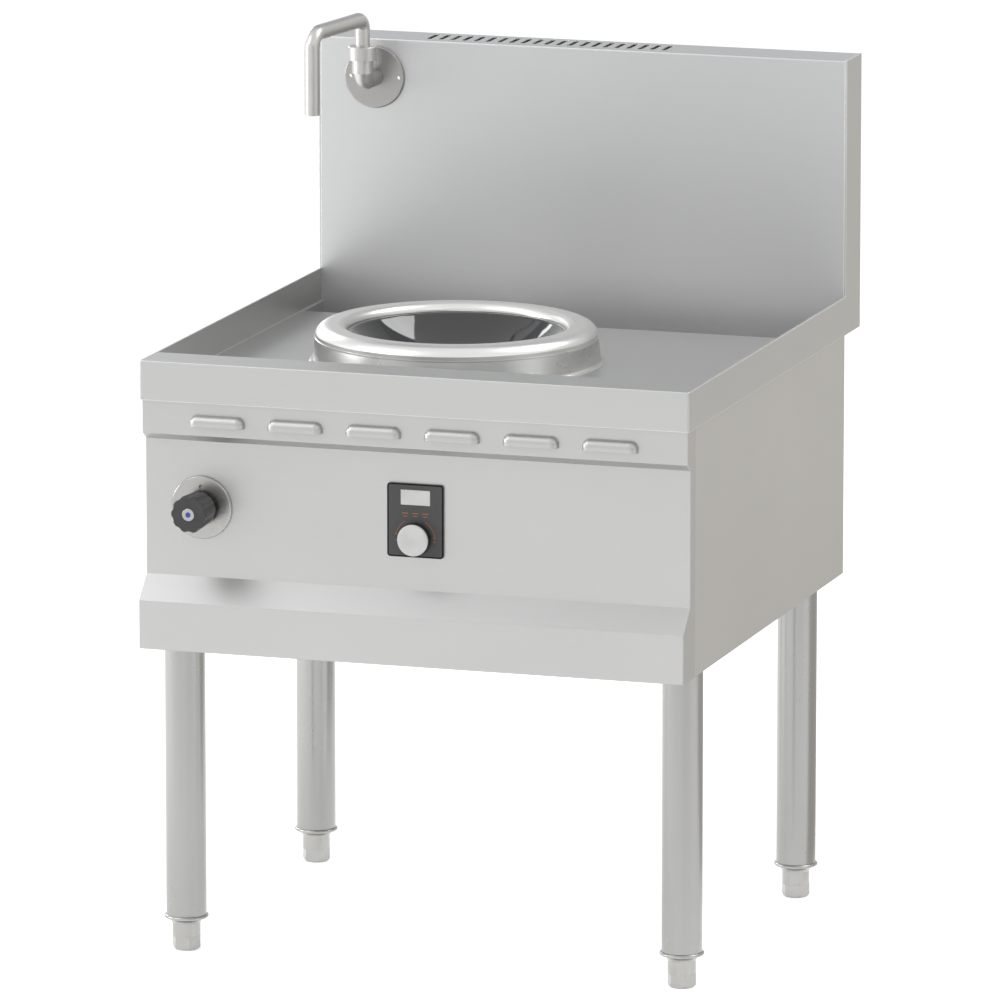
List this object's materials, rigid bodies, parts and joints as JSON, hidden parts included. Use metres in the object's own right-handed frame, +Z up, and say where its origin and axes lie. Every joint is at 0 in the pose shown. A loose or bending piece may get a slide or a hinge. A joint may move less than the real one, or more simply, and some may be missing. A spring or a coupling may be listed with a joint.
{
  "type": "wok range",
  "caption": "Freestanding catering wok range: sunken deck with a round bowl hob, tall splashback, swivel tap, louvred front, round legs.",
  "frame": {"origin": "centre of the bounding box's bottom face, on the floor", "axes": "+Z up, -Y towards the cook (front), +X to the cook's right"},
  "size_m": [0.8, 0.901, 1.2507],
  "materials": {
    "brushed_sheet": "fine satin stainless steel sheet",
    "satin_tube": "satin stainless steel tube",
    "spun_steel": "spun stainless steel, turned finish",
    "zinc_sheet": "plain galvanised inner sheet",
    "bright_chrome": "polished chrome plate",
    "cast_chrome": "satin chrome plated casting",
    "black_glass": "glossy black ceramic glass",
    "grey_silicone": "soft matte silicone",
    "copper_litz": "wound copper litz wire",
    "mica_board": "heat resistant board",
    "ferrite": "sintered ferrite",
    "dark_handwheel": "dark moulded plastic with a fine grain",
    "dark_bezel": "dark satin moulding",
    "fan_black": "glass filled black plastic",
    "display_window": "pale glossy window",
    "silver_knob": "silver plated plastic",
    "blue_marker": "blue enamel",
    "green_board": "varnished circuit board",
    "copper_pipe": "drawn copper pipe",
    "brass_fitting": "machined brass",
    "grey_nylon": "grey nylon",
    "sensor_steel": "plain turned steel"
  },
  "bodies": {
    "range": {"worktop": "brushed_sheet", "splashback": "brushed_sheet", "exhaust_duct": "zinc_sheet", "front_fascia": "brushed_sheet", "side_panel_left": "brushed_sheet", "side_panel_right": "brushed_sheet", "rear_panel": "zinc_sheet", "rear_panel_screws": "sensor_steel", "bottom_panel": "zinc_sheet", "underframe": "zinc_sheet", "wok_collar": "spun_steel", "trim_ring": "spun_steel", "glass_bowl": "black_glass", "bowl_seal": "grey_silicone", "induction_coil": "copper_litz", "coil_carrier": "mica_board", "carrier_studs": "brass_fitting", "ferrite_bars": "ferrite", "temperature_sensor": "sensor_steel", "generator_module": "zinc_sheet", "fan_housing": "fan_black", "drain_outlet": "sensor_steel", "drain_strainer": "spun_steel", "tap_flange": "cast_chrome", "tap_elbow": "cast_chrome", "spout_nut": "cast_chrome", "valve_rose": "cast_chrome", "valve_body": "brass_fitting", "riser_pipe": "copper_pipe", "inlet_pipe": "copper_pipe", "water_inlet": "brass_fitting", "cable_gland": "grey_nylon", "control_bezel": "dark_bezel", "display_lens": "display_window", "control_board": "green_board", "knob_encoder": "fan_black", "leg_front_left": "satin_tube", "leg_front_right": "satin_tube", "leg_rear_left": "satin_tube", "leg_rear_right": "satin_tube"},
    "swivel_spout": {"spout": "cast_chrome"},
    "valve_handwheel": {"handwheel": "dark_handwheel", "handwheel_cap": "bright_chrome", "cold_marker": "blue_marker", "valve_spindle": "brass_fitting"},
    "power_knob": {"power_knob": "dark_handwheel", "knob_cap": "silver_knob", "knob_shaft": "sensor_steel"},
    "fan_rotor": {"fan_rotor": "fan_black"},
    "foot_front_left": {"foot_front_left": "cast_chrome"},
    "foot_front_right": {"foot_front_right": "cast_chrome"},
    "foot_rear_left": {"foot_rear_left": "cast_chrome"},
    "foot_rear_right": {"foot_rear_right": "cast_chrome"}
  },
  "joints": [
    {"name": "spout_swivel", "type": "hinge", "parent": "range", "child": "swivel_spout", "pos_m": [-0.314, 0.3175, 1.19335], "axis": [0, 0, 1], "range_deg": [-92, 108]},
    {"name": "handwheel_turn", "type": "hinge", "parent": "range", "child": "valve_handwheel", "pos_m": [-0.314, -0.3905, 0.65356], "axis": [0, -1, 0], "range_deg": [0, 540]},
    {"name": "power_knob_turn", "type": "hinge", "parent": "range", "child": "power_knob", "pos_m": [0, -0.3905, 0.62796], "axis": [0, 1, 0], "range_deg": [0, 270]},
    {"name": "fan_spin", "type": "hinge", "parent": "range", "child": "fan_rotor", "pos_m": [-0.19, -0.0779, 0.47296], "axis": [0, 0, 1], "continuous": true},
    {"name": "foot_front_left_height", "type": "slide", "parent": "range", "child": "foot_front_left", "axis": [0, 0, -1], "range_m": [0, 0.025]},
    {"name": "foot_front_right_height", "type": "slide", "parent": "range", "child": "foot_front_right", "axis": [0, 0, -1], "range_m": [0, 0.025]},
    {"name": "foot_rear_left_height", "type": "slide", "parent": "range", "child": "foot_rear_left", "axis": [0, 0, -1], "range_m": [0, 0.025]},
    {"name": "foot_rear_right_height", "type": "slide", "parent": "range", "child": "foot_rear_right", "axis": [0, 0, -1], "range_m": [0, 0.025]}
  ]
}
